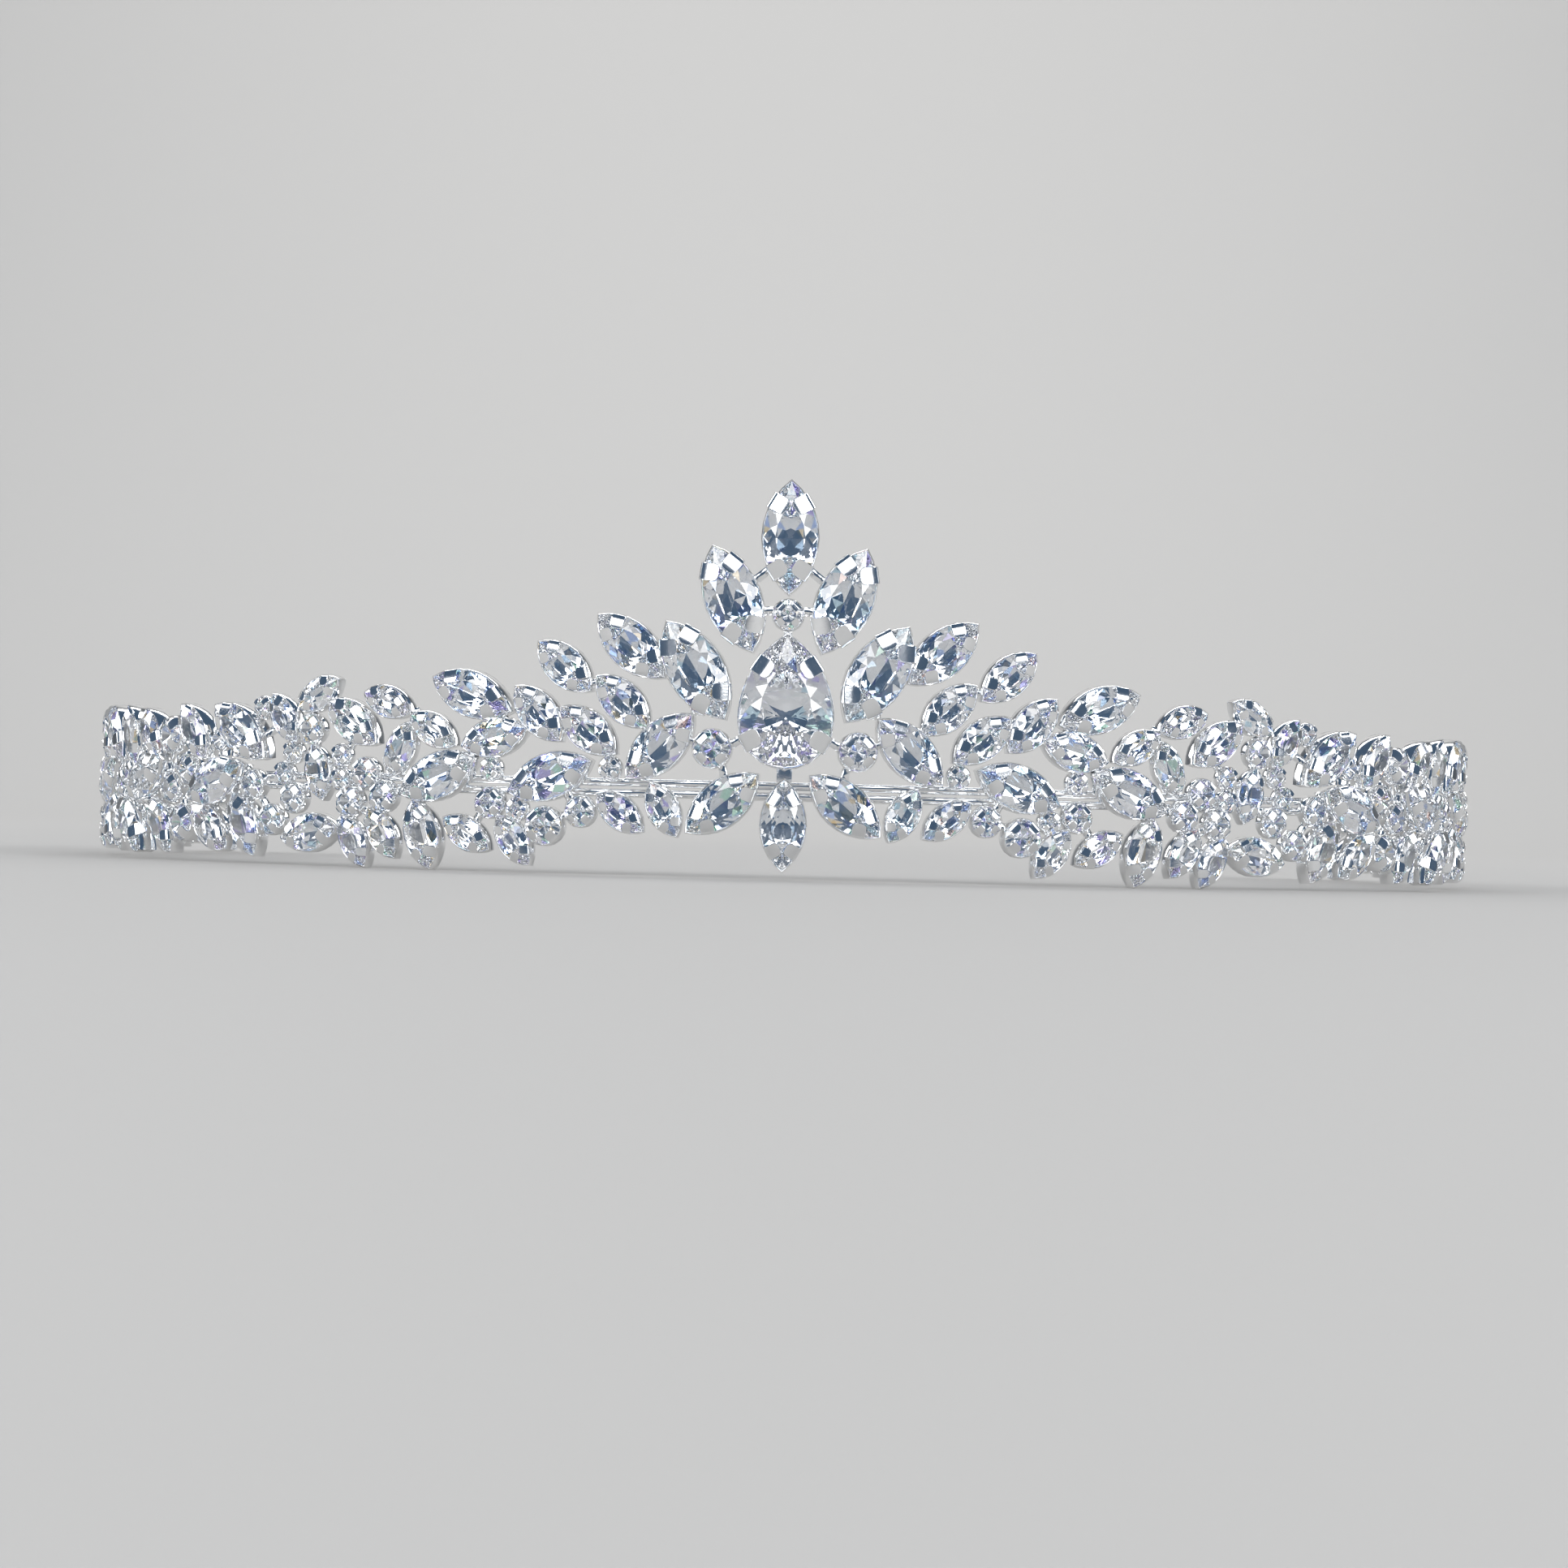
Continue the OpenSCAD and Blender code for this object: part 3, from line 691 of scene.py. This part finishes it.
def back_rim(place):
    """Points round a cup's open back."""
    centre, axes, cut = place
    rim = np.column_stack([outline(cut, CUP_WALL, BACK_POINTS), np.full(BACK_POINTS, -cup_depth(cut))])
    return rim @ axes.T + centre


def inside_cup(points, place):
    """Which points lie inside a cup's wall, seen along its axis, by at least a solder joint."""
    centre, axes, cut = place
    x, y = ((points - centre) @ axes)[:, :2].T
    widest, r, c = side_arcs(cut)
    x = x - widest
    grow = CUP_WALL - JOINT
    disc = np.hypot(x, y) < cut[2] / 2 + grow
    between_arcs = (np.hypot(x, y + c) < r + grow) & (np.hypot(x, y - c) < r + grow)
    if cut[0] == PEAR:
        return np.where(x < 0, disc, between_arcs)
    return disc if cut[0] == ROUND else between_arcs


carriers = len(solid_places)  # a filler's cup carries no other
rims = [back_rim(p) for p in stone_places]
heights = [p[0][2] - BAND_HEIGHT * MM for p in stone_places]
halves = [0 if abs(p[0][0]) < CENTRED else math.copysign(1, p[0][0]) for p in stone_places]  # left -1, right 1
off_band = [i for i, rim in enumerate(rims)
            if rim[:, 2].min() > (BAND_HEIGHT * MM + ON_BAND) or rim[:, 2].max() < (BAND_HEIGHT * MM - ON_BAND)]


def link_from(i, side):
    """The gap from cup i to the nearest cup on that side that is nearer to the band, or nothing if they touch."""
    near = [k for k in range(carriers) if abs(heights[k]) < abs(heights[i]) - SAME_POINT
            and (side * halves[k] > 0 or (halves[k] == 0 and (side == 0 or halves[i] != 0)))
            and np.linalg.norm(stone_places[k][0] - stone_places[i][0]) < LINK_REACH]
    best = None
    for k in near:
        if inside_cup(rims[i], stone_places[k]).any() or inside_cup(rims[k], stone_places[i]).any():
            return None
        gaps = np.linalg.norm(rims[i][:, None] - rims[k][None], axis=2)
        a, b = np.unravel_index(np.argmin(gaps), gaps.shape)
        if best is None or gaps[a, b] < best[0]:
            best = (gaps[a, b], rims[i][a], rims[k][b], stone_places[i][1][:, 2] + stone_places[k][1][:, 2])
    return best


found = []
for i in off_band:
    if halves[i]:
        sides = [halves[i]]
    else:
        sides = [0] if stone_places[i][2][0] == ROUND else [1, -1]
    found += [gap for gap in (link_from(i, side) for side in sides) if gap]
bar = []  # a rounded bar along X, 1 long, 1 wide and 1 thick, standing on Z 0
for x, share in ((-0.5, 0.8), (-0.35, 1), (0.35, 1), (0.5, 0.8)):
    bar.append([(x, share * 0.5 * math.cos(t) * CORNERS, 0.5 + share * 0.5 * math.sin(t) * CORNERS)
                for t in (math.radians(22.5 + 45 * k) for k in range(8))])
bars = []
for gap, a, b, out in found:
    along = b - a
    out = out / np.linalg.norm(out)
    along = along - out * (along @ out)
    along /= np.linalg.norm(along)
    bars.append(((a + b) / 2 + out * LINK_RISE, np.column_stack([along, np.cross(out, along), out]), 0,
                 (gap + LINK_BITE, LINK_HEIGHT, LINK_THICK)))
upright = np.array([[0, -1.0, 0], [0, 0, -1.0], [1.0, 0, 0]])  # along Z, thick towards the front
bars.append((np.array([0, (BAND_FRONT + POST_INSET) * MM, (POST_LOW + POST_HIGH) / 2 * MM]), upright, 0,
             ((POST_HIGH - POST_LOW) * MM, POST_WIDTH, POST_THICK)))
links_piece = repeat("links", bars, [(np.vstack(bar), lofted(bar, closed=False))], plating)
smooth(links_piece, LINK_EDGE)
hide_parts("frame")
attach(links_piece, "root")

# Studio: a pale matt floor that sweeps up behind, and soft lights from above and both sides.
# The room beyond the lights is dim and bluish, which gives the stones and the metal something dark to mirror.
PAPER = (0.44, 0.43, 0.415, 1)
FLOOR_REACH = 8.0  # metres, to the front and to both sides
FLOOR_FLAT, SWEEP_RADIUS, WALL_TOP = 0.9, 0.8, 2.6  # metres: where the sweep begins, its radius, the wall's top
SWEEP_STEPS = 16
DIM_ROOM = (0.06, 0.1, 0.16, 1)
DIADEM = (0, 0, 0.02)  # where the side lights aim
GLOW, GLOW_SPREAD = 0.95, math.radians(100)  # strength of the glow from above, and how wide it is

paper = bpy.data.materials.new("pale matt paper")
paper.use_nodes = True
shader = paper.node_tree.nodes["Principled BSDF"]
shader.inputs["Base Color"].default_value = PAPER
shader.inputs["Roughness"].default_value = 0.95
shader.inputs["Specular IOR Level"].default_value = 0.1
sweep = [(-FLOOR_REACH, 0.0), (FLOOR_FLAT, 0.0)]
for k in range(1, SWEEP_STEPS + 1):
    t = math.radians(90 * k / SWEEP_STEPS)
    sweep.append((FLOOR_FLAT + SWEEP_RADIUS * math.sin(t), SWEEP_RADIUS - SWEEP_RADIUS * math.cos(t)))
sweep.append((FLOOR_FLAT + SWEEP_RADIUS, WALL_TOP))
floor = new_piece("floor", [(x, y, z) for y, z in sweep for x in (-FLOOR_REACH, FLOOR_REACH)],
                  [[2 * i, 2 * i + 1, 2 * i + 3, 2 * i + 2] for i in range(len(sweep) - 1)], paper)
floor.data.shade_smooth()

world = bpy.data.worlds.new("dim room")
bpy.context.scene.world = world
world.use_nodes = True
world.node_tree.nodes["Background"].inputs["Color"].default_value = DIM_ROOM
world.node_tree.nodes["Background"].inputs["Strength"].default_value = 1.0


def soft_light(name, position, aim, width, height, power):
    """A lamp behind a cloth of that width and height in metres, with its power in watts."""
    lamp = bpy.data.lights.new(name, "AREA")
    lamp.shape = "RECTANGLE"
    lamp.size, lamp.size_y, lamp.energy = width, height, power
    light = bpy.data.objects.new(name, lamp)
    light.location = position
    light.rotation_euler = (Vector(aim) - Vector(position)).to_track_quat("-Z", "Y").to_euler()
    bpy.context.scene.collection.objects.link(light)


soft_light("main light", (0.0, -0.66, 0.68), (0, -0.03, 0.02), 0.8, 0.32, 2.3)
for name, (x, y, z), width, height, power in (
        ("light", (0.66, -0.68, 0.34), 0.42, 0.5, 3.5), ("arm light", (0.86, 0.22, 0.44), 0.46, 0.42, 3.4)):
    for hand, side in (("left", -1), ("right", 1)):
        soft_light(f"{hand} {name}", (side * x, y, z), DIADEM, width, height, power)
soft_light("backdrop light", (0.0, 0.9, 1.3), (0, 1.7, 0.1), 1.6, 0.5, 18)
# one weak light from above that only the matt floor takes, so that it isn't dark far from the diadem
glow = bpy.data.objects.new("ceiling glow", bpy.data.lights.new("ceiling glow", "SUN"))
glow.data.energy, glow.data.angle = GLOW, GLOW_SPREAD
glow.visible_glossy = glow.visible_transmission = False
bpy.context.scene.collection.objects.link(glow)

# Camera: low and level in front, as near as the photograph's view comes to the floor.
FOCAL_PIXELS, PHOTO_PIXELS, SENSOR = 4200, 1932, 36  # focal length and side of the photograph, and its side in mm
CAMERA_PLACE = (0, -0.4135, 0.006)
CAMERA_TILT, CAMERA_ROLL = 90.65, 1.5  # degrees
LIGHT_BOUNCES = 24  # a cut stone sends light round inside it many times before it comes out

camera = bpy.data.objects.new("camera", bpy.data.cameras.new("camera"))
bpy.context.scene.collection.objects.link(camera)
camera.data.lens = FOCAL_PIXELS / PHOTO_PIXELS * SENSOR
camera.data.sensor_width = SENSOR
camera.data.clip_start, camera.data.clip_end = 0.005, 20
camera.location = CAMERA_PLACE
turn = Matrix.Rotation(math.radians(CAMERA_TILT), 3, "X") @ Matrix.Rotation(math.radians(CAMERA_ROLL), 3, "Z")
camera.rotation_euler = turn.to_euler()
bpy.context.scene.camera = camera
bpy.context.scene.view_settings.view_transform = "Standard"
paths = bpy.context.scene.cycles
paths.max_bounces = paths.transmission_bounces = paths.glossy_bounces = LIGHT_BOUNCES
